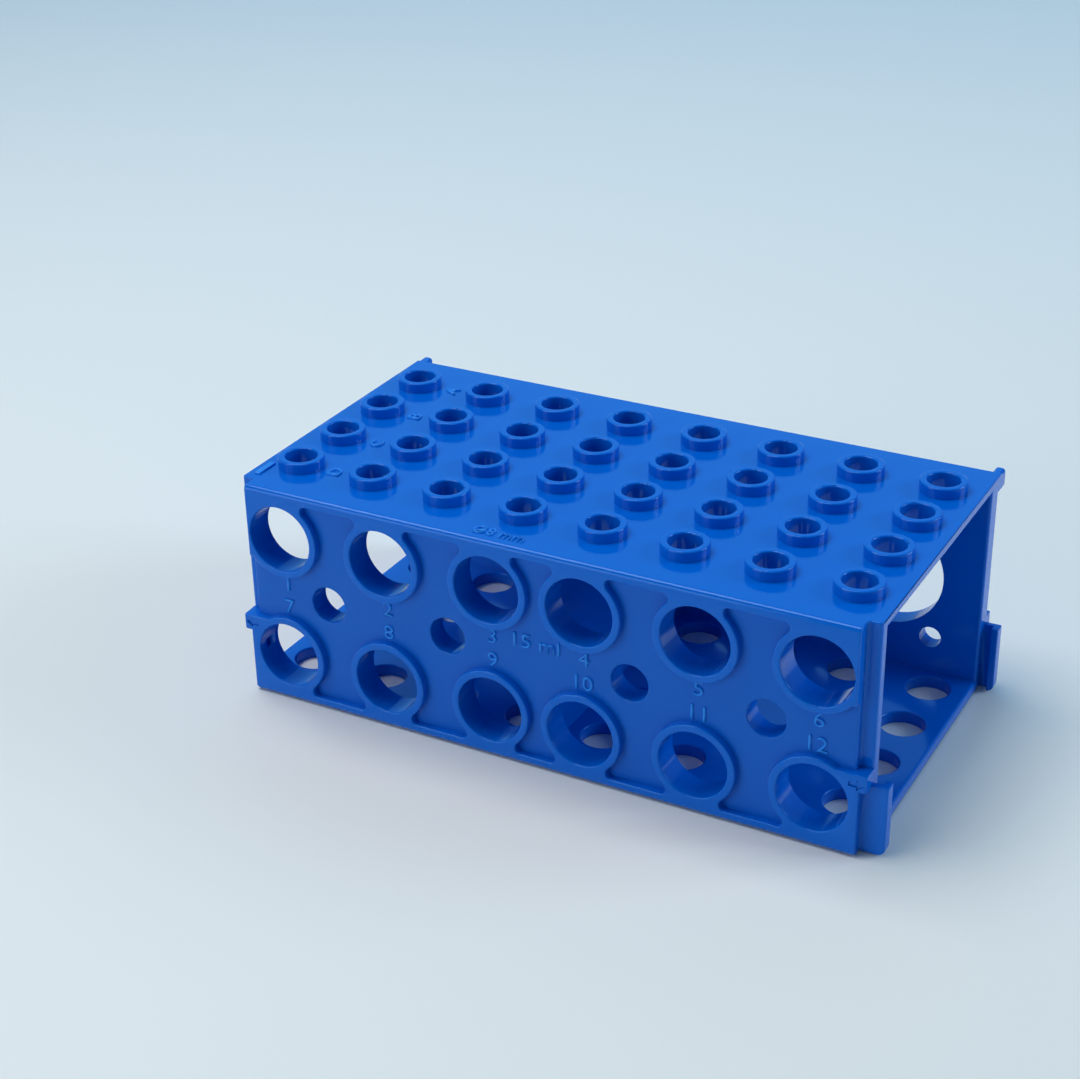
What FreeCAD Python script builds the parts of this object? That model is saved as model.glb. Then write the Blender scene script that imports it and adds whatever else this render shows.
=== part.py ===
"""Multi-purpose tube rack: a one-piece polypropylene sleeve, open at both ends, whose four long
faces take tubes of four sizes. Whichever face is turned up carries the matching holes, and the
face opposite it holds the tubes' tips. A web across the middle stiffens the sleeve. Hooks and
pockets join the racks end to end.

Millimetres, +X along the sleeve, +Y from the front wall to the back wall, +Z up. The origin is
under the middle of the sleeve, on the surface that it stands on.
"""
import FreeCAD, Part
import math
import os

from FreeCAD import Base

# Sleeve
BODY_LENGTH = 174.6
BODY_DEPTH = 92.9
BODY_HEIGHT = 61.5
WALL = 8.15
TOP_PLATE = 2.6
BOTTOM_PLATE = 3.4
WEB = 2.7
EDGE_ROUND = 1.2

# Top and bottom faces: columns and rows of small tubes
SMALL_COLUMNS = 8
SMALL_ROWS = 4
SMALL_END_MARGIN = 10.3
SMALL_SIDE_MARGIN = 16.75
TOP_BORE = 8.44
COLLAR_DIAMETER = 12.3
COLLAR_HEIGHT = 2.9
BOTTOM_BORE = 11.8

# Each long wall has a group of bores in each half, centred this much nearer the middle than the
# half is
GROUP_SHIFT = 0.3

# Front wall: two rows of middle-sized tubes, three to a group
MIDDLE_BORE = 18.1
MIDDLE_END_MARGIN = 13.4
MIDDLE_ROW_PITCH = 34.3
MIDDLE_RING_WIDTH = 2.05
NECK_WIDTH = 14.2
NECK_FLARE = 1.4
BORDER_HEIGHT = 2.8
FRONT_FIELD_DEPTH = 2.0

# Back wall: one row of large tubes, two to a group with a short bar between their rings
LARGE_BORE = 30.4
LARGE_RING_WIDTH = 1.9
LARGE_RING_HEIGHT = 1.2
RING_BAR_LENGTH = 1.5
RING_BAR_HEIGHT = 9.0
BACK_FIELD_DEPTH = 3.0

# Holes that seat the tubes' tips, each in the wall opposite the tube's own bore
LARGE_TIP_HOLE = 10.0
MIDDLE_TIP_HOLE = 6.0

# Ends of the front wall: a rib set back behind the face, and a tab under it
FACE_SETBACK = 3.45
RIB_DEPTH = 4.45
TAB_TOP = 23.0
TAB_HEIGHT = 4.6
LOWER_SETBACK = 1.9
LOWER_DEPTH = 3.15

# Ends of the back wall: a strip and a lower band beside it
STRIP_WIDTH = 3.7
STRIP_TOP = 21.0
BAND_WIDTH = 3.6
BAND_HEIGHT = 1.0

# Hooks at the right end, and the pockets at the left end that take another rack's hooks
HOOK_REACH = 4.3
HOOK_BASE = 0.3
HOOK_HEIGHT = 19.0
HOOK_PLATE = 1.8
HOOK_LIP_LENGTH = 2.0
HOOK_LIP_DEPTH = 1.7
HOOK_CORNER = 2.0
POCKET_TOP = 20.9
POCKET_SPACE = 0.5
POCKET_SIDE_SPACE = 0.1
POCKET_END_SPACE = 0.15

# Feet at the back wall's upper corners, level with the top face and flush with the ends
FOOT_WIDTH = 2.8
FOOT_REACH = 2.6
FOOT_HEIGHT = 4.8
FOOT_ROUND = 1.0

# The small holes, collars and rings are many, so they have flat sides. This is the most by which
# the sides leave the true circle.
FACET_SAG = 0.15

HALF_LENGTH = BODY_LENGTH / 2
HALF_DEPTH = BODY_DEPTH / 2
HALF_CLEAR = HALF_DEPTH - WALL
GROUP_PLACE = HALF_LENGTH / 2 - GROUP_SHIFT
MIDDLE_RING = MIDDLE_BORE + 2 * MIDDLE_RING_WIDTH
LARGE_RING = LARGE_BORE + 2 * LARGE_RING_WIDTH
OVERSHOOT = 1.0


def box(x_span, y_span, z_span):
    size = [high - low for low, high in (x_span, y_span, z_span)]
    return Part.makeBox(*size, Base.Vector(x_span[0], y_span[0], z_span[0]))


def rod(diameter, length):
    """A bar that stands on the origin, with an even number of flat sides in place of the round."""
    radius = diameter / 2
    sides = 2 * math.ceil(math.pi / math.acos(1 - FACET_SAG / radius) / 2)
    turns = [2 * math.pi * i / sides for i in range(sides)]
    corners = [Base.Vector(radius * math.cos(turn), radius * math.sin(turn), 0) for turn in turns]
    outline = Part.makePolygon(corners + corners[:1])
    return Part.Face(outline).extrude(Base.Vector(0, 0, length))


def rod_z(x, y, z_span, diameter):
    bar = rod(diameter, z_span[1] - z_span[0])
    return bar.translated(Base.Vector(x, y, z_span[0]))


def rod_y(x, z, y_span, diameter):
    bar = rod(diameter, y_span[1] - y_span[0])
    bar.rotate(Base.Vector(0, 0, 0), Base.Vector(1, 0, 0), -90)
    return bar.translated(Base.Vector(x, y_span[0], z))


def round_y(x, z, y_span, diameter):
    """A truly round bar along Y, for the large and the middle-sized tubes' own bores."""
    start = Base.Vector(x, y_span[0], z)
    return Part.makeCylinder(diameter / 2, y_span[1] - y_span[0], start, Base.Vector(0, 1, 0))


def mirrored(shape, normal):
    """The shape's mirror image in a plane through the origin."""
    return shape.mirror(Base.Vector(0, 0, 0), normal)


def both_ends(shape):
    return [shape, mirrored(shape, Base.Vector(1, 0, 0))]


def both_walls(shape):
    return [shape, mirrored(shape, Base.Vector(0, 1, 0))]


def spread(count, total):
    """Evenly spaced places, centred on zero, from the first to the last in that length."""
    return [total * (i / (count - 1) - 0.5) for i in range(count)]


def grouped(offsets):
    """The places of a group in the right half, and their mirror image in the left half."""
    right = [GROUP_PLACE + offset for offset in offsets]
    return [-x for x in reversed(right)] + right


def straight_edges(shape, axis, where=lambda middle: True):
    """The straight edges along one axis whose middle passes a test."""
    found = []
    for edge in shape.Edges:
        if isinstance(edge.Curve, Part.Line):
            along = edge.Curve.Direction
            if abs(along[axis]) > 0.999 and where(edge.CenterOfMass):
                found.append(edge)
    return found


def small_places():
    columns = spread(SMALL_COLUMNS, BODY_LENGTH - 2 * SMALL_END_MARGIN)
    rows = spread(SMALL_ROWS, BODY_DEPTH - 2 * SMALL_SIDE_MARGIN)
    return [(x, y) for x in columns for y in rows]


def middle_places():
    pitch = HALF_LENGTH - MIDDLE_END_MARGIN - GROUP_PLACE
    columns = grouped((-pitch, 0, pitch))
    rows = [BODY_HEIGHT / 2 + z for z in spread(2, MIDDLE_ROW_PITCH)]
    return [(x, z) for x in columns for z in rows]


def large_places():
    pitch = LARGE_RING + RING_BAR_LENGTH
    return [(x, BODY_HEIGHT / 2) for x in grouped((-pitch / 2, pitch / 2))]


def sleeve():
    """The four walls, with the long edges of the outside rounded, and the web across the middle."""
    block = box((-HALF_LENGTH, HALF_LENGTH), (-HALF_DEPTH, HALF_DEPTH), (0, BODY_HEIGHT))
    block = block.makeFillet(EDGE_ROUND, straight_edges(block, 0))
    tunnel = box((WEB / 2, BODY_LENGTH), (-HALF_CLEAR, HALF_CLEAR),
                 (BOTTOM_PLATE, BODY_HEIGHT - TOP_PLATE))
    return block.cut(both_ends(tunnel))


def nearer_edge(z):
    """The height of the top or bottom face, whichever is nearer."""
    return BODY_HEIGHT if z > BODY_HEIGHT / 2 else 0


def front_field():
    """What is sunk between the front wall's rings, whose necks flare out into the borders."""
    depth = (-HALF_DEPTH - OVERSHOOT, -HALF_DEPTH + FRONT_FIELD_DEPTH)
    through = (depth[0] - OVERSHOOT, depth[1] + OVERSHOOT)
    field = box((-BODY_LENGTH, BODY_LENGTH), depth, (BORDER_HEIGHT, BODY_HEIGHT - BORDER_HEIGHT))
    proud = []
    for x, z in middle_places():
        neck = sorted((z, nearer_edge(z)))
        proud.append(rod_y(x, z, through, MIDDLE_RING))
        proud.append(box((x - NECK_WIDTH / 2, x + NECK_WIDTH / 2), through, neck))
    last_x, high_z = middle_places()[-1]
    proud += both_ends(box((last_x, 2 * BODY_LENGTH), through, (high_z, BODY_HEIGHT)))
    proud += both_ends(box((last_x, 2 * BODY_LENGTH), through, (0, TAB_TOP)))
    field = field.cut(proud)
    border = BODY_HEIGHT / 2 - BORDER_HEIGHT - NECK_FLARE / 2

    def at_neck(middle):
        return abs(middle.x) < HALF_LENGTH and abs(middle.z - BODY_HEIGHT / 2) > border

    return field.makeChamfer(NECK_FLARE, straight_edges(field, 1, at_neck))


def front_end_cuts():
    """At each end, the groove in front of the rib, and the step under the tab."""
    front = -HALF_DEPTH - OVERSHOOT
    groove = box((HALF_LENGTH - FACE_SETBACK, BODY_LENGTH), (front, -HALF_DEPTH + RIB_DEPTH),
                 (TAB_TOP, BODY_HEIGHT + OVERSHOOT))
    step = box((HALF_LENGTH - LOWER_SETBACK, BODY_LENGTH), (front, -HALF_DEPTH + LOWER_DEPTH),
               (-OVERSHOOT, TAB_TOP - TAB_HEIGHT))
    return both_ends(groove) + both_ends(step)


def back_field():
    """What is sunk on the back wall between its borders and the strips at its ends."""
    floor = HALF_DEPTH - BACK_FIELD_DEPTH
    field = box((-BODY_LENGTH, BODY_LENGTH), (floor, HALF_DEPTH + OVERSHOOT),
                (BORDER_HEIGHT, BODY_HEIGHT - BORDER_HEIGHT))
    strip_inside = HALF_LENGTH - STRIP_WIDTH
    strip = box((strip_inside, 2 * BODY_LENGTH), (0, BODY_DEPTH), (0, STRIP_TOP))
    band = box((strip_inside - BAND_WIDTH, strip_inside + OVERSHOOT), (0, floor + BAND_HEIGHT),
               (0, STRIP_TOP))
    return field.cut(both_ends(strip) + both_ends(band))


def back_rings():
    """The low rings around the large bores, joined in pairs by a short bar."""
    floor = HALF_DEPTH - BACK_FIELD_DEPTH
    raised = (floor - OVERSHOOT, floor + LARGE_RING_HEIGHT)
    rings = [rod_y(x, z, raised, LARGE_RING) for x, z in large_places()]
    inner, outer = [x for x, z in large_places()][-2:]
    middle = BODY_HEIGHT / 2
    bar = box((inner, outer), raised, (middle - RING_BAR_HEIGHT / 2, middle + RING_BAR_HEIGHT / 2))
    return rings + both_ends(bar)


def feet():
    """A tongue at each upper corner of the back wall, with round top edges."""
    x_span = (HALF_LENGTH - FOOT_WIDTH, HALF_LENGTH)
    y_span = (HALF_DEPTH - BACK_FIELD_DEPTH - OVERSHOOT, HALF_DEPTH + FOOT_REACH)
    tongue = box(x_span, y_span, (BODY_HEIGHT - FOOT_HEIGHT, BODY_HEIGHT))
    upper = straight_edges(tongue, 1, lambda middle: middle.z > BODY_HEIGHT - FOOT_HEIGHT / 2)
    return both_ends(tongue.makeFillet(FOOT_ROUND, upper))


def hook():
    """A plate that runs on from the back wall's right end, with its lip turned inwards."""
    outside = HALF_DEPTH - LOWER_DEPTH
    tip = HALF_LENGTH + HOOK_REACH
    height = (HOOK_BASE, HOOK_BASE + HOOK_HEIGHT)
    plate = box((HALF_LENGTH - OVERSHOOT, tip), (outside - HOOK_PLATE, outside), height)
    lip_inside = outside - HOOK_PLATE - HOOK_LIP_DEPTH
    lip = box((tip - HOOK_LIP_LENGTH, tip), (lip_inside, outside), height)
    whole = plate.fuse(lip).removeSplitter()

    def at_lower_tip(middle):
        return middle.z < HOOK_HEIGHT / 2 and middle.x > tip - HOOK_LIP_LENGTH / 2

    return whole.makeFillet(HOOK_CORNER, straight_edges(whole, 1, at_lower_tip))


def pocket():
    """The slot and the wider cavity that take the next rack's hook, at the back wall's left end."""
    outside = HALF_DEPTH - LOWER_DEPTH + POCKET_SPACE
    plate_inside = outside - HOOK_PLATE - POCKET_SPACE - POCKET_SIDE_SPACE
    end = HOOK_REACH + POCKET_END_SPACE - HALF_LENGTH
    height = (-OVERSHOOT, POCKET_TOP)
    slot = box((-BODY_LENGTH, end), (plate_inside, outside), height)
    cavity = box((end - HOOK_LIP_LENGTH - 2 * POCKET_END_SPACE, end),
                 (plate_inside - HOOK_LIP_DEPTH, outside), height)
    return slot.fuse(cavity)


def collars():
    height = (BODY_HEIGHT - OVERSHOOT, BODY_HEIGHT + COLLAR_HEIGHT)
    return [rod_z(x, y, height, COLLAR_DIAMETER) for x, y in small_places()]


def plate_bores():
    """Holes of the top and bottom faces, one under the other."""
    top = (BODY_HEIGHT - TOP_PLATE - OVERSHOOT, BODY_HEIGHT + COLLAR_HEIGHT + OVERSHOOT)
    bottom = (-OVERSHOOT, BOTTOM_PLATE + OVERSHOOT)
    holes = []
    for x, y in small_places():
        holes.append(rod_z(x, y, top, TOP_BORE))
        holes.append(rod_z(x, y, bottom, BOTTOM_BORE))
    return holes


def wall_bores():
    """Holes of the front and back walls, each with its tip hole in the other wall."""
    front = (-HALF_DEPTH - OVERSHOOT, -HALF_CLEAR + OVERSHOOT)
    back = (HALF_CLEAR - OVERSHOOT, HALF_DEPTH + OVERSHOOT)
    holes = []
    for x, z in middle_places():
        holes.append(round_y(x, z, front, MIDDLE_BORE))
        holes.append(rod_y(x, z, back, MIDDLE_TIP_HOLE))
    for x, z in large_places():
        holes.append(round_y(x, z, back, LARGE_BORE))
        holes.append(rod_y(x, z, front, LARGE_TIP_HOLE))
    return holes


def rack_body():
    body = sleeve().cut([front_field(), back_field()] + front_end_cuts())
    body = body.fuse(back_rings() + feet() + both_walls(hook()) + collars())
    body = body.cut(both_walls(pocket()) + plate_bores() + wall_bores())
    return body.removeSplitter()


os.makedirs("parts", exist_ok=True)
rack_body().exportStep("parts/rack_body.step")
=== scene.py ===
import math

import bmesh
import bpy
from mathutils import Matrix, Vector


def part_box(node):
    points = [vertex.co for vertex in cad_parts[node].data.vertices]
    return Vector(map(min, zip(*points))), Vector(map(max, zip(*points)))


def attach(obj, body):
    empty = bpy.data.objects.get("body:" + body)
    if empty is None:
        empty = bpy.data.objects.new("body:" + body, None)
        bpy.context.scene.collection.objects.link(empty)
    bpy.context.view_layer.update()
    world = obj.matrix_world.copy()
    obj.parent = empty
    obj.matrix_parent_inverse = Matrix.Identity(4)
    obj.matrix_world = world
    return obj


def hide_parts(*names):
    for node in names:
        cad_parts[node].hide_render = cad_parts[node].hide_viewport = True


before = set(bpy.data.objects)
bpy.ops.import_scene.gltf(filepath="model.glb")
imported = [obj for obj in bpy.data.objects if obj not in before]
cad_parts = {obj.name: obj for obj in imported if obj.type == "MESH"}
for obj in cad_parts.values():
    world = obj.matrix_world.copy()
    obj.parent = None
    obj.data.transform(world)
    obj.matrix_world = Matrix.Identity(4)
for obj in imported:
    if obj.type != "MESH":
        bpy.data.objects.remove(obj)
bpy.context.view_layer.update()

# The moulded body. One shot of polypropylene makes the whole rack: a sleeve with two thin plates,
# two thick walls, and a web where the mould's two cores meet. The steel's corners are rounded, so
# every outer edge is soft, and the long ones are the roundest. All sizes are in millimetres.
BODY_LENGTH, BODY_HEIGHT = 174.6, 61.5
WALL, WEB = 8.15, 2.7
TOP_PLATE, BOTTOM_PLATE = 2.6, 3.4
LONG_EDGE_ROUND, MOUTH_ROUND = 1.3, 0.8
UNDERSIDE_RIM = 0.3
METRES = 0.001
HALF_LENGTH = BODY_LENGTH / 2
HALF_DEPTH = -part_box("rack_body")[0].y / METRES
HALF_CLEAR = HALF_DEPTH - WALL
MIDDLE_Z = BODY_HEIGHT / 2
PAST = 2.0
NEAR = 0.01


def span_around(middle, width):
    return (middle - width / 2, middle + width / 2)


def add_block(solid, x_span, y_span, z_span):
    """A box between its limits along X, Y and Z."""
    spans = (x_span, y_span, z_span)
    corners = bmesh.ops.create_cube(solid, size=1.0)["verts"]
    bmesh.ops.scale(solid, vec=Vector([max(s) - min(s) for s in spans]), verts=corners)
    bmesh.ops.translate(solid, vec=Vector([sum(s) / 2 for s in spans]), verts=corners)
    return corners


def edges_at(solid, **places):
    """The edges whose two ends both lie at those coordinates, or both at their opposites."""
    found = []
    for edge in solid.edges:
        ends = [(*(getattr(v.co, axis) for v in edge.verts), places[axis]) for axis in places]
        if all(abs(p - q) < NEAR and abs(abs(p) - place) < NEAR for p, q, place in ends):
            found.append(edge)
    return found


def round_edges(solid, edges, radius, segments):
    bmesh.ops.bevel(solid, geom=edges, offset=radius, offset_type="OFFSET", affect="EDGES",
                    segments=segments, profile=0.5, material=-1)


def object_of(solid, name):
    mesh = bpy.data.meshes.new(name)
    solid.to_mesh(mesh)
    solid.free()
    made = bpy.data.objects.new(name, mesh)
    bpy.context.scene.collection.objects.link(made)
    return made


def joined(solid, other, operation):
    """The solid with another one cut from it or fused to it."""
    owner, tool = object_of(solid, "solid"), object_of(other, "tool")
    step = owner.modifiers.new("step", "BOOLEAN")
    step.operation, step.solver, step.object = operation, "MANIFOLD", tool
    result = bmesh.new()
    result.from_object(owner, bpy.context.evaluated_depsgraph_get())
    for used in (owner, tool):
        mesh = used.data
        bpy.data.objects.remove(used)
        bpy.data.meshes.remove(mesh)
    return result


def cut(solid, other):
    return joined(solid, other, "DIFFERENCE")


def fused(solid, other):
    return joined(solid, other, "UNION")


body, chambers = bmesh.new(), bmesh.new()
add_block(body, (-HALF_LENGTH, HALF_LENGTH), (-HALF_DEPTH, HALF_DEPTH),
          (UNDERSIDE_RIM, BODY_HEIGHT))
long_edges = edges_at(body, y=HALF_DEPTH, z=BODY_HEIGHT)
long_edges += edges_at(body, y=HALF_DEPTH, z=UNDERSIDE_RIM)
round_edges(body, long_edges, LONG_EDGE_ROUND, 6)
for side in (-1, 1):
    add_block(chambers, (side * WEB / 2, side * BODY_LENGTH), (-HALF_CLEAR, HALF_CLEAR),
              (BOTTOM_PLATE, BODY_HEIGHT - TOP_PLATE))
body = cut(body, chambers)
mouths = edges_at(body, x=HALF_LENGTH, y=HALF_CLEAR) + edges_at(body, x=HALF_LENGTH, z=BOTTOM_PLATE)
mouths += edges_at(body, x=HALF_LENGTH, z=BODY_HEIGHT - TOP_PLATE)
round_edges(body, mouths, MOUTH_ROUND, 4)

# The front wall. Twelve rings for 15 ml tubes stand out of a sunk satin field. A neck joins each
# ring to the border above or below it, with a soft bend where they meet, so that the melt fills
# the ring. The ends step back to a rib behind a groove, and each tab has an arrow cut into it.
MIDDLE_COLUMNS = (-73.9, -43.35, -12.8, 12.8, 43.35, 73.9)
ROW_OFFSET = 17.15
MIDDLE_ROWS = (MIDDLE_Z - ROW_OFFSET, MIDDLE_Z + ROW_OFFSET)
MIDDLE_BORE, MIDDLE_RING = 18.1, 22.2
NECK_WIDTH = 14.2
RING_BEND, BORDER_BEND = 2.2, 1.3
BORDER = 2.8
FRONT_FIELD = 2.0
FACE_SETBACK, RIB_DEPTH, RIB_ROUND = 3.45, 4.45, 0.9
TAB_TOP, TAB_HEIGHT = 23.0, 4.6
LEDGE_WIDTH, LEDGE_Z = 1.25, 41.0
LOWER_SETBACK, LOWER_DEPTH = 1.9, 3.15
ARROW_START, ARROW_NECK, ARROW_TIP = 82.8, 84.9, 86.7
SHAFT_WIDTH, HEAD_WIDTH, ARROW_CUT = 1.3, 3.0, 0.4
LEFT_ARROW_Z, RIGHT_ARROW_Z = 20.8, 20.4
FRONT = (-HALF_DEPTH - PAST, -HALF_DEPTH + FRONT_FIELD)
THROUGH_FRONT = (FRONT[0] - PAST, FRONT[1] + PAST)
ROD_THROUGH = (THROUGH_FRONT[0] - 1, THROUGH_FRONT[1] + 1)
ARROW_DEPTH = (FRONT[0], -HALF_DEPTH + ARROW_CUT)


def add_rod(solid, axis, place, span, diameter, sides):
    """A round bar along Y or Z. The place is its centre across the other two axes."""
    corners = bmesh.ops.create_cone(solid, cap_ends=True, segments=sides, radius1=diameter / 2,
                                    radius2=diameter / 2, depth=span[1] - span[0])["verts"]
    if axis == "Y":
        turn = Matrix.Rotation(math.radians(-90), 3, "X")
        bmesh.ops.rotate(solid, cent=(0, 0, 0), matrix=turn, verts=corners)
        middle = Vector((place[0], sum(span) / 2, place[1]))
    else:
        middle = Vector((place[0], place[1], sum(span) / 2))
    bmesh.ops.translate(solid, vec=middle, verts=corners)


def add_ring_bend(blocks, rods, ring, side_x, side_z):
    """The rounded inside corner between a ring and the upright side of its neck."""
    radius, straight = MIDDLE_RING / 2, NECK_WIDTH / 2
    along = math.sqrt((radius + RING_BEND) ** 2 - (straight + RING_BEND) ** 2)
    touch = along * radius / (radius + RING_BEND)
    centre = (ring[0] + side_x * (straight + RING_BEND), ring[1] + side_z * along)
    add_block(blocks, (centre[0], ring[0] + side_x * (straight - RING_BEND / 2)), THROUGH_FRONT,
              (centre[1], ring[1] + side_z * touch))
    add_rod(rods, "Y", centre, ROD_THROUGH, 2 * RING_BEND, 32)


def add_border_bend(blocks, rods, corner, side_x, side_z):
    """The rounded inside corner between a neck and the border."""
    centre = (corner[0] + side_x * BORDER_BEND, corner[1] - side_z * BORDER_BEND)
    add_block(blocks, (corner[0] - side_x * BORDER_BEND / 2, centre[0]), THROUGH_FRONT,
              (centre[1], corner[1] + side_z * PAST))
    add_rod(rods, "Y", centre, ROD_THROUGH, 2 * BORDER_BEND, 32)


field, rings, necks, ends, ledges = (bmesh.new() for _ in range(5))
ring_bends, ring_rods, border_bends, border_rods = (bmesh.new() for _ in range(4))
add_block(field, (-BODY_LENGTH, BODY_LENGTH), FRONT, (BORDER, BODY_HEIGHT - BORDER))
for z in MIDDLE_ROWS:
    side_z = 1 if z > MIDDLE_Z else -1
    border = MIDDLE_Z + side_z * (MIDDLE_Z - BORDER)
    for x in MIDDLE_COLUMNS:
        add_rod(rings, "Y", (x, z), THROUGH_FRONT, MIDDLE_RING, 96)
        add_block(necks, span_around(x, NECK_WIDTH), THROUGH_FRONT, (z, border + side_z * PAST))
        for side_x in (-1, 1):
            add_ring_bend(ring_bends, ring_rods, (x, z), side_x, side_z)
            corner = (x + side_x * NECK_WIDTH / 2, border)
            add_border_bend(border_bends, border_rods, corner, side_x, side_z)
for side in (-1, 1):
    last, past_end = side * MIDDLE_COLUMNS[-1], side * 2 * BODY_LENGTH
    add_block(ends, (last, past_end), THROUGH_FRONT, (MIDDLE_ROWS[1], BODY_HEIGHT))
    add_block(ends, (last, past_end), THROUGH_FRONT, (0, TAB_TOP))
    add_block(ledges, (side * (HALF_LENGTH - FACE_SETBACK - LEDGE_WIDTH), past_end), THROUGH_FRONT,
              (LEDGE_Z, MIDDLE_ROWS[1] + 1))
bends = (cut(ring_bends, ring_rods), cut(border_bends, border_rods))
for proud in (rings, necks, ends, ledges, *bends):
    field = cut(field, proud)
body = cut(body, field)

grooves, steps, corners, corner_rods, shafts, heads = (bmesh.new() for _ in range(6))
groove_floor = -HALF_DEPTH + RIB_DEPTH
above_tab = (TAB_TOP, BODY_HEIGHT + PAST)
for side in (-1, 1):
    add_block(grooves, (side * (HALF_LENGTH - FACE_SETBACK), side * BODY_LENGTH),
              (FRONT[0], groove_floor), above_tab)
    add_block(steps, (side * (HALF_LENGTH - LOWER_SETBACK), side * BODY_LENGTH),
              (FRONT[0], -HALF_DEPTH + LOWER_DEPTH), (-PAST, TAB_TOP - TAB_HEIGHT))
    centre = (side * (HALF_LENGTH - RIB_ROUND), groove_floor + RIB_ROUND)
    add_block(corners, (centre[0], centre[0] + side * PAST), (centre[1] - PAST, centre[1]),
              above_tab)
    add_rod(corner_rods, "Z", centre, (TAB_TOP - 1, BODY_HEIGHT + PAST + 1), 2 * RIB_ROUND, 32)
inside_corners = edges_at(grooves, x=HALF_LENGTH - FACE_SETBACK, y=-groove_floor)
round_edges(grooves, inside_corners, RIB_ROUND, 5)
for side, z in ((-1, LEFT_ARROW_Z), (1, RIGHT_ARROW_Z)):
    add_block(shafts, (side * ARROW_START, side * ARROW_NECK), ARROW_DEPTH,
              span_around(z, SHAFT_WIDTH))
    for corner in add_block(heads, (side * (ARROW_NECK - 0.1), side * ARROW_TIP), ARROW_DEPTH,
                            span_around(z, HEAD_WIDTH)):
        if abs(corner.co.x) > ARROW_TIP - NEAR:
            corner.co.z = z
bmesh.ops.remove_doubles(heads, verts=heads.verts, dist=NEAR / 10)
for gone in (grooves, steps, cut(corners, corner_rods), shafts, heads):
    body = cut(body, gone)

# The back wall. Four large rings for 50 ml tubes stand a little out of a deeper field, joined in
# pairs by a short bar. Strips at the ends close the slots of the hooks, and a tongue at each upper
# corner stands past the wall.
LARGE_COLUMNS = (-61.2, -25.5, 25.5, 61.2)
LARGE_BORE, LARGE_RING = 30.4, 34.2
RING_HEIGHT, RING_BAR_HEIGHT = 1.2, 9.0
BACK_FIELD = 3.0
STRIP_WIDTH, STRIP_TOP = 3.7, 21.0
BAND_WIDTH, BAND_HEIGHT, BAND_TOP = 3.6, 1.0, 20.0
FOOT_WIDTH, FOOT_REACH, FOOT_HEIGHT, FOOT_ROUND = 2.8, 2.6, 4.8, 1.0
FLOOR = HALF_DEPTH - BACK_FIELD

field, strips, bands, rings, bars, feet = (bmesh.new() for _ in range(6))
add_block(field, (-BODY_LENGTH, BODY_LENGTH), (FLOOR, HALF_DEPTH + PAST),
          (BORDER, BODY_HEIGHT - BORDER))
strip_inside = HALF_LENGTH - STRIP_WIDTH
raised = (FLOOR - PAST, FLOOR + RING_HEIGHT)
for side in (-1, 1):
    add_block(strips, (side * strip_inside, side * 2 * BODY_LENGTH), (0, HALF_DEPTH + 2 * PAST),
              (0, STRIP_TOP))
    add_block(bands, (side * (strip_inside - BAND_WIDTH), side * (strip_inside + PAST)),
              (0, FLOOR + BAND_HEIGHT), (0, BAND_TOP))
    add_block(bars, [side * x for x in LARGE_COLUMNS[-2:]], raised,
              span_around(MIDDLE_Z, RING_BAR_HEIGHT))
    add_block(feet, (side * (HALF_LENGTH - FOOT_WIDTH), side * HALF_LENGTH),
              (FLOOR - 1, HALF_DEPTH + FOOT_REACH), (BODY_HEIGHT - FOOT_HEIGHT, BODY_HEIGHT))
for x in LARGE_COLUMNS:
    add_rod(rings, "Y", (x, MIDDLE_Z), raised, LARGE_RING, 128)
foot_edges = edges_at(feet, x=HALF_LENGTH, z=BODY_HEIGHT)
foot_edges += edges_at(feet, x=HALF_LENGTH - FOOT_WIDTH, z=BODY_HEIGHT)
round_edges(feet, foot_edges, FOOT_ROUND, 5)
body = cut(body, cut(cut(field, strips), bands))
for proud in (rings, bars, feet):
    body = fused(body, proud)

# The hooks and their pockets. At the right end a plate runs on from each long wall and turns its
# lip inwards. The next rack's left end has the slot and the cavity for it, open at the underside,
# so racks drop together.
HOOK_REACH, HOOK_BASE, HOOK_TOP = 4.3, 0.3, 19.3
HOOK_PLATE, LIP_LENGTH, LIP_DEPTH, HOOK_CORNER = 1.8, 2.0, 1.7, 2.0
POCKET_TOP, POCKET_SPACE, POCKET_SIDE_SPACE, POCKET_END_SPACE = 20.9, 0.5, 0.1, 0.15

outside = HALF_DEPTH - LOWER_DEPTH
tip = HALF_LENGTH + HOOK_REACH
slot_end = HOOK_REACH + POCKET_END_SPACE - HALF_LENGTH
slot_inside = outside - HOOK_PLATE - POCKET_SIDE_SPACE
hook_height, pocket_height = (HOOK_BASE, HOOK_TOP), (-PAST, POCKET_TOP)
plates, lips, slots, cavities = (bmesh.new() for _ in range(4))
for wall in (-1, 1):
    add_block(plates, (HALF_LENGTH - PAST, tip),
              (wall * (outside - HOOK_PLATE), wall * outside), hook_height)
    add_block(lips, (tip - LIP_LENGTH, tip),
              (wall * (outside - HOOK_PLATE - LIP_DEPTH), wall * outside), hook_height)
    add_block(slots, (-BODY_LENGTH, slot_end),
              (wall * slot_inside, wall * (outside + POCKET_SPACE)), pocket_height)
    add_block(cavities, (slot_end - LIP_LENGTH - 2 * POCKET_END_SPACE, slot_end),
              (wall * (slot_inside - LIP_DEPTH), wall * (outside + POCKET_SPACE)), pocket_height)
hooks = fused(plates, lips)
bmesh.ops.dissolve_limit(hooks, angle_limit=math.radians(1), verts=hooks.verts, edges=hooks.edges)
round_edges(hooks, edges_at(hooks, x=tip, z=HOOK_BASE), HOOK_CORNER, 8)
body = fused(body, hooks)
body = cut(cut(body, slots), cavities)

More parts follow.
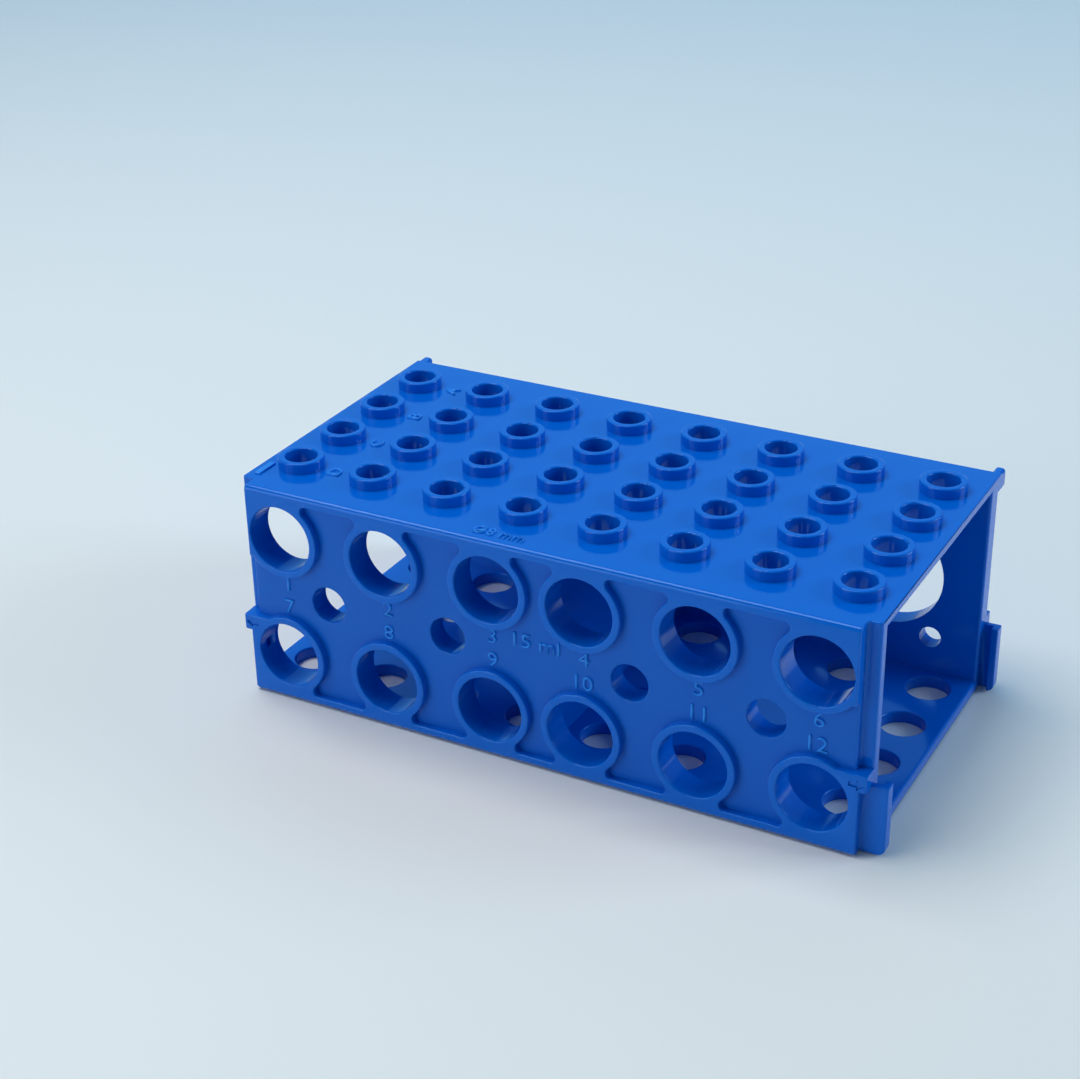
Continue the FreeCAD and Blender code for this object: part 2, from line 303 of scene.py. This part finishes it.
# The holes and their collars. The top has thirty-two low collars round its small bores, and the
# underside a thin rim round each wider hole. The long walls' bores go right through, and the small
# holes opposite seat the tubes' tips. Then every outer edge gets its small radius.
COLUMN_PITCH, ROW_PITCH = 22.0, 19.8
SMALL_COLUMNS = [(i - 3.5) * COLUMN_PITCH for i in range(8)]
SMALL_ROWS = [(i - 1.5) * ROW_PITCH for i in range(4)]
TOP_BORE, COLLAR, COLLAR_HEIGHT = 8.44, 12.3, 2.9
BOTTOM_BORE, BOTTOM_RIM = 11.8, 13.8
MIDDLE_TIP_HOLE, LARGE_TIP_HOLE = 6.0, 10.0
EDGE_ROUND, RIM_ROUND = 0.4, 0.12
SHARP_FROM, FLAT_WITHIN, MERGE_WITHIN = math.radians(27), math.radians(0.6), 0.02
MANY_CORNERS = 60

COLLAR_TOP = BODY_HEIGHT + COLLAR_HEIGHT
front_wall = (-HALF_DEPTH - PAST, 1 - HALF_CLEAR)
back_wall = (HALF_CLEAR - 1, HALF_DEPTH + PAST)
collars, rims, plate_holes, wall_holes = (bmesh.new() for _ in range(4))
for x in SMALL_COLUMNS:
    for y in SMALL_ROWS:
        add_rod(collars, "Z", (x, y), (BODY_HEIGHT - 1, COLLAR_TOP), COLLAR, 64)
        add_rod(rims, "Z", (x, y), (0, BOTTOM_PLATE - 1), BOTTOM_RIM, 48)
        add_rod(plate_holes, "Z", (x, y), (MIDDLE_Z, COLLAR_TOP + PAST), TOP_BORE, 56)
        add_rod(plate_holes, "Z", (x, y), (-PAST, MIDDLE_Z - 1), BOTTOM_BORE, 48)
for x in MIDDLE_COLUMNS:
    for z in MIDDLE_ROWS:
        add_rod(wall_holes, "Y", (x, z), front_wall, MIDDLE_BORE, 96)
        add_rod(wall_holes, "Y", (x, z), back_wall, MIDDLE_TIP_HOLE, 32)
for x in LARGE_COLUMNS:
    add_rod(wall_holes, "Y", (x, MIDDLE_Z), back_wall, LARGE_BORE, 128)
    add_rod(wall_holes, "Y", (x, MIDDLE_Z), front_wall, LARGE_TIP_HOLE, 48)
body = fused(fused(body, collars), rims)
body = cut(cut(body, plate_holes), wall_holes)
bmesh.ops.remove_doubles(body, verts=body.verts, dist=MERGE_WITHIN)
bmesh.ops.dissolve_limit(body, angle_limit=FLAT_WITHIN, verts=body.verts, edges=body.edges)
large_faces = [face for face in body.faces if len(face.verts) > MANY_CORNERS]
bmesh.ops.connect_verts_concave(body, faces=large_faces)
body.normal_update()


def edge_radius(edge):
    """The radius that the mould gives an edge. Inside corners and the pockets' edges stay sharp."""
    if edge.calc_face_angle(0) < SHARP_FROM or not edge.is_convex:
        return 0.0
    x, y, z = (edge.verts[0].co + edge.verts[1].co) / 2
    in_chamber = BOTTOM_PLATE + 0.05 < z < BODY_HEIGHT - TOP_PLATE + 0.05
    in_chamber = in_chamber and abs(y) < HALF_CLEAR + 0.05 and abs(x) < HALF_LENGTH - 0.05
    in_pocket = x < slot_end + 0.2 and z < POCKET_TOP + 0.1
    in_pocket = in_pocket and HALF_CLEAR < abs(y) < outside + POCKET_SPACE + 0.1
    at_foot = abs(x) > HALF_LENGTH - FOOT_WIDTH - 0.1 and z > BODY_HEIGHT - LONG_EDGE_ROUND - 0.1
    at_foot = at_foot and HALF_DEPTH - LONG_EDGE_ROUND - 0.1 < y < HALF_DEPTH + 1
    at_arrow = ARROW_START - 0.1 < abs(x) < ARROW_TIP + 0.1 and y < -HALF_DEPTH + 0.3
    at_arrow = at_arrow and abs(2 * z - LEFT_ARROW_Z - RIGHT_ARROW_Z) < 4.0
    if in_pocket or at_foot or at_arrow or (in_chamber and edge.calc_length() < 5):
        return 0.0
    if z < 0.5 and abs(y) < HALF_CLEAR:
        return RIM_ROUND
    return EDGE_ROUND


soft = body.edges.layers.float.new("bevel_weight_edge")
for edge in body.edges:
    radius = edge_radius(edge)
    edge[soft] = radius / EDGE_ROUND
    edge.smooth = radius > 0 or edge.calc_face_angle(0) < SHARP_FROM
for face in body.faces:
    depth = face.calc_center_median().y
    front_field = face.normal.y < -0.99 and abs(depth + HALF_DEPTH - FRONT_FIELD) < 0.05
    back_field = face.normal.y > 0.99 and abs(depth - FLOOR) < 0.05
    face.smooth = True
    face.material_index = 1 if front_field or back_field else 0
bmesh.ops.scale(body, vec=(METRES, METRES, METRES), verts=body.verts)
rack = object_of(body, "moulded_rack")
step = rack.modifiers.new("soft edges", "BEVEL")
step.limit_method, step.width, step.segments = "WEIGHT", EDGE_ROUND * METRES, 2
step.use_clamp_overlap, step.loop_slide, step.miter_outer = False, False, "MITER_SHARP"
step = rack.modifiers.new("flat faces", "WEIGHTED_NORMAL")
step.keep_sharp = True
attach(rack, "root")
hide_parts("rack_body")

# The plastic. Injection-moulded polypropylene, dyed royal blue right through. The steel is
# polished, so the rack is glossy with a slight waviness. The long walls' sunk fields are satin.
# The numbers' thin strokes are the same plastic, but they are drawn a lighter blue: a painted
# highlight that stands in for the light their edges catch, so that they can be read.
GRAIN_SIZE = 0.4
WAVE_SIZE, WAVE_HEIGHT = 16.667, 0.03


def linear(hex_colour):
    """An sRGB hex colour as linear red, green, blue and alpha."""
    parts = [int(hex_colour[i:i + 2], 16) / 255 for i in (1, 3, 5)]
    return [p / 12.92 if p <= 0.04045 else ((p + 0.055) / 1.055) ** 2.4 for p in parts] + [1.0]


def add_node(tree, kind, settings, links):
    """A node with its settings, and links to its inputs from other nodes' outputs."""
    node = tree.nodes.new(kind)
    for name, value in settings.items():
        if name in node.inputs:
            node.inputs[name].default_value = value
        else:
            setattr(node, name, value)
    for name, output in links.items():
        tree.links.new(output, node.inputs[name])
    return node


def polypropylene(name, colour, roughness, grain_height):
    """The blue plastic, with its mould's fine grain and the waviness left by shrinking."""
    material = bpy.data.materials.new(name)
    material.use_nodes = True
    tree = material.node_tree
    plastic = tree.nodes["Principled BSDF"]
    plastic.inputs["Base Color"].default_value = linear(colour)
    plastic.inputs["Roughness"].default_value = roughness
    plastic.inputs["IOR"].default_value = 1.49
    plastic.inputs["Specular IOR Level"].default_value = 0.55
    plastic.inputs["Specular Tint"].default_value = linear("#A0CCFF")
    place = add_node(tree, "ShaderNodeTexCoord", {}, {})
    bumps = None
    # Real grain is about 0.05 mm across, too fine to show, so GRAIN_SIZE draws it coarser.
    for size, height in ((GRAIN_SIZE, grain_height), (WAVE_SIZE, WAVE_HEIGHT)):
        settings = {"Scale": 1 / (size * METRES), "Detail": 1.0}
        pattern = add_node(tree, "ShaderNodeTexNoise", settings,
                           {"Vector": place.outputs["Object"]})
        links = {"Height": pattern.outputs["Fac"]}
        if bumps:
            links["Normal"] = bumps.outputs["Normal"]
        depth = {"Distance": height * METRES, "Strength": 1.0}
        bumps = add_node(tree, "ShaderNodeBump", depth, links)
    tree.links.new(bumps.outputs["Normal"], plastic.inputs["Normal"])
    return material


POLISHED = polypropylene("polished_polypropylene", "#0062CB", 0.12, 0.0006)
SATIN = polypropylene("satin_polypropylene", "#005BC2", 0.34, 0.004)
# The strokes' lighter blue is a painted highlight; the real strokes are the rack's own blue.
PAINTED_HIGHLIGHT_STROKES = polypropylene("stroke_painted_highlight_polypropylene", "#2384E6", 0.2, 0.001)
for finish in (POLISHED, SATIN):
    rack.data.materials.append(finish)

# The raised numbers and letters. The mould's cutter leaves thin raised strokes: the bores' numbers
# and tube sizes on the walls, the rows' letters on the plates, and a plain ridge near the top
# plate's left end. Those of the underside are lower, so that the rack stands on its rims.
NUMBER_HEIGHT, LARGE_NUMBER_HEIGHT, LETTER_HEIGHT = 4.1, 4.8, 3.7
WALL_SIZE_HEIGHT, PLATE_SIZE_HEIGHT = 3.9, 3.4
WIDEN, STROKE_RISE, UNDERSIDE_RISE = 1.1, 0.5, 0.25
NUMBER_SHIFT, UPPER_NUMBERS_Z, LOWER_NUMBERS_Z, LARGE_NUMBERS_Z = 0.5, 34.35, 27.6, 7.7
TOP_LETTERS_X, UNDERSIDE_LETTERS_X, PLATE_SIZE_Y = -66.5, -66.0, 41.7
WALL_SIZE_WIDTH, TOP_SIZE_WIDTH, UNDERSIDE_SIZE_WIDTH = 13.0, 14.2, 16.4
RIDGE_X, RIDGE_Y, RIDGE_ROUND = (-85.2, -83.5), (-39.4, -32.2), 0.2


def add_marks(marks, words, height, middle, right, up, width=None, rise=STROKE_RISE):
    """Raised words of that height, from their middle and their ways to the right and up."""
    letters = bpy.data.curves.new("words", "FONT")
    letters.body, letters.align_x, letters.align_y = words, "CENTER", "CENTER"
    letters.bevel_depth, letters.bevel_resolution, letters.offset = 0.045, 2, -0.034
    letters.resolution_u = 4
    shown = bpy.data.objects.new("words", letters)
    bpy.context.scene.collection.objects.link(shown)
    strokes = bpy.data.meshes.new_from_object(shown)
    bpy.data.objects.remove(shown)
    bpy.data.curves.remove(letters)
    low = Vector([min(v.co[i] for v in strokes.vertices) for i in range(3)])
    size = Vector([max(v.co[i] for v in strokes.vertices) for i in range(3)]) - low
    width = width or size.x / size.y * height * WIDEN
    right, up = Vector(right), Vector(up)
    sides = (right * width, up * height, right.cross(up) * 2 * rise)
    for corner in strokes.vertices:
        along = [(corner.co[i] - low[i]) / size[i] - 0.5 for i in range(3)]
        offsets = (side * part for side, part in zip(sides, along))
        corner.co = Vector(middle) + sum(offsets, Vector())
    marks.from_mesh(strokes)
    bpy.data.meshes.remove(strokes)


FIELD_Y = -HALF_DEPTH + FRONT_FIELD
EAST, WEST, NORTH = (1, 0, 0), (-1, 0, 0), (0, 1, 0)
UPWARDS, DOWNWARDS, SOUTH = (0, 0, 1), (0, 0, -1), (0, -1, 0)
marks = bmesh.new()
for i, x in enumerate(MIDDLE_COLUMNS):
    for number, z in ((i + 1, UPPER_NUMBERS_Z), (i + 7, LOWER_NUMBERS_Z)):
        add_marks(marks, str(number), NUMBER_HEIGHT, (x + NUMBER_SHIFT, FIELD_Y, z), EAST, UPWARDS)
add_marks(marks, "15 ml", WALL_SIZE_HEIGHT, (0.2, FIELD_Y, 35.2), EAST, UPWARDS, WALL_SIZE_WIDTH)
for i, x in enumerate(reversed(LARGE_COLUMNS)):
    add_marks(marks, str(i + 1), LARGE_NUMBER_HEIGHT, (x, FLOOR, LARGE_NUMBERS_Z), EAST, DOWNWARDS)
for top_letter, bottom_letter, y in zip("DCBA", "ABCD", SMALL_ROWS):
    add_marks(marks, top_letter, LETTER_HEIGHT, (TOP_LETTERS_X, y, BODY_HEIGHT), NORTH, WEST)
    add_marks(marks, bottom_letter, LETTER_HEIGHT, (UNDERSIDE_LETTERS_X, y, UNDERSIDE_RIM), SOUTH,
              WEST, rise=UNDERSIDE_RISE)
add_marks(marks, "Ø8 mm", PLATE_SIZE_HEIGHT, (-11.0, -PLATE_SIZE_Y, BODY_HEIGHT), EAST, NORTH,
          TOP_SIZE_WIDTH)
add_marks(marks, "Ø11 mm", PLATE_SIZE_HEIGHT, (0.0, PLATE_SIZE_Y, UNDERSIDE_RIM), EAST, SOUTH,
          UNDERSIDE_SIZE_WIDTH, rise=UNDERSIDE_RISE)
ridge = add_block(marks, RIDGE_X, RIDGE_Y, span_around(BODY_HEIGHT, 2 * STROKE_RISE))
ridge_edges = list({edge for corner in ridge for edge in corner.link_edges})
round_edges(marks, ridge_edges, RIDGE_ROUND, 2)
bmesh.ops.remove_doubles(marks, verts=marks.verts, dist=NEAR / 10)
bmesh.ops.scale(marks, vec=(METRES, METRES, METRES), verts=marks.verts)
raised_marks = object_of(marks, "raised_marks")
# The strokes get the lighter blue, which is a painted highlight.
raised_marks.data.materials.append(PAINTED_HIGHLIGHT_STROKES)
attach(raised_marks, "root")

# The place, the light and the camera. A plain pale table stands under large soft lamps: one above
# to the left, fills from the front and the right, and a pale blue one behind that shows in the
# polished top. The camera has the photograph's place and lens, found by fitting one to the bores.
table_mesh = bmesh.new()
bmesh.ops.create_grid(table_mesh, x_segments=1, y_segments=1, size=6.0)
table = object_of(table_mesh, "table")
paint = bpy.data.materials.new("matt_table_paint")
paint.use_nodes = True
coat = paint.node_tree.nodes["Principled BSDF"]
coat.inputs["Base Color"].default_value = linear("#EEEBE5")
coat.inputs["Roughness"].default_value = 0.6
table.data.materials.append(paint)


def add_lamp(name, place, size, watts, colour):
    """A square soft lamp that faces the rack's middle."""
    lamp = bpy.data.lights.new(name, "AREA")
    lamp.shape, lamp.size, lamp.energy, lamp.color = "SQUARE", size, watts, linear(colour)[:3]
    made = bpy.data.objects.new(name, lamp)
    made.location = place
    made.rotation_euler = (Vector((0, 0, 0.03)) - Vector(place)).to_track_quat("-Z", "Y").to_euler()
    bpy.context.scene.collection.objects.link(made)


add_lamp("key_lamp", (-0.42, -0.05, 1.25), 0.8, 10.0, "#FFFFFF")
add_lamp("front_lamp", (-0.5, -0.75, 0.2), 0.6, 2.8, "#FFFFFF")
add_lamp("right_lamp", (1.5, 0.8, 0.75), 0.9, 15.0, "#CDEBFF")
add_lamp("back_lamp", (-0.65, 1.3, 0.75), 1.6, 5.6, "#58BEFF")
world = bpy.data.worlds.new("room")
bpy.context.scene.world = world
world.use_nodes = True
air = world.node_tree.nodes["Background"]
air.inputs["Color"].default_value = linear("#A4D3F0")
air.inputs["Strength"].default_value = 0.3

camera = bpy.data.objects.new("camera", bpy.data.cameras.new("camera"))
bpy.context.scene.collection.objects.link(camera)
camera.location = (0.21556, -0.43176, 0.29067)
camera.rotation_euler = [math.radians(a) for a in (62.899, 1.027, 28.378)]
camera.data.lens, camera.data.sensor_width = 69.346, 36.0
camera.data.clip_start = 0.01
bpy.context.scene.camera = camera
bpy.context.scene.view_settings.view_transform = "Standard"
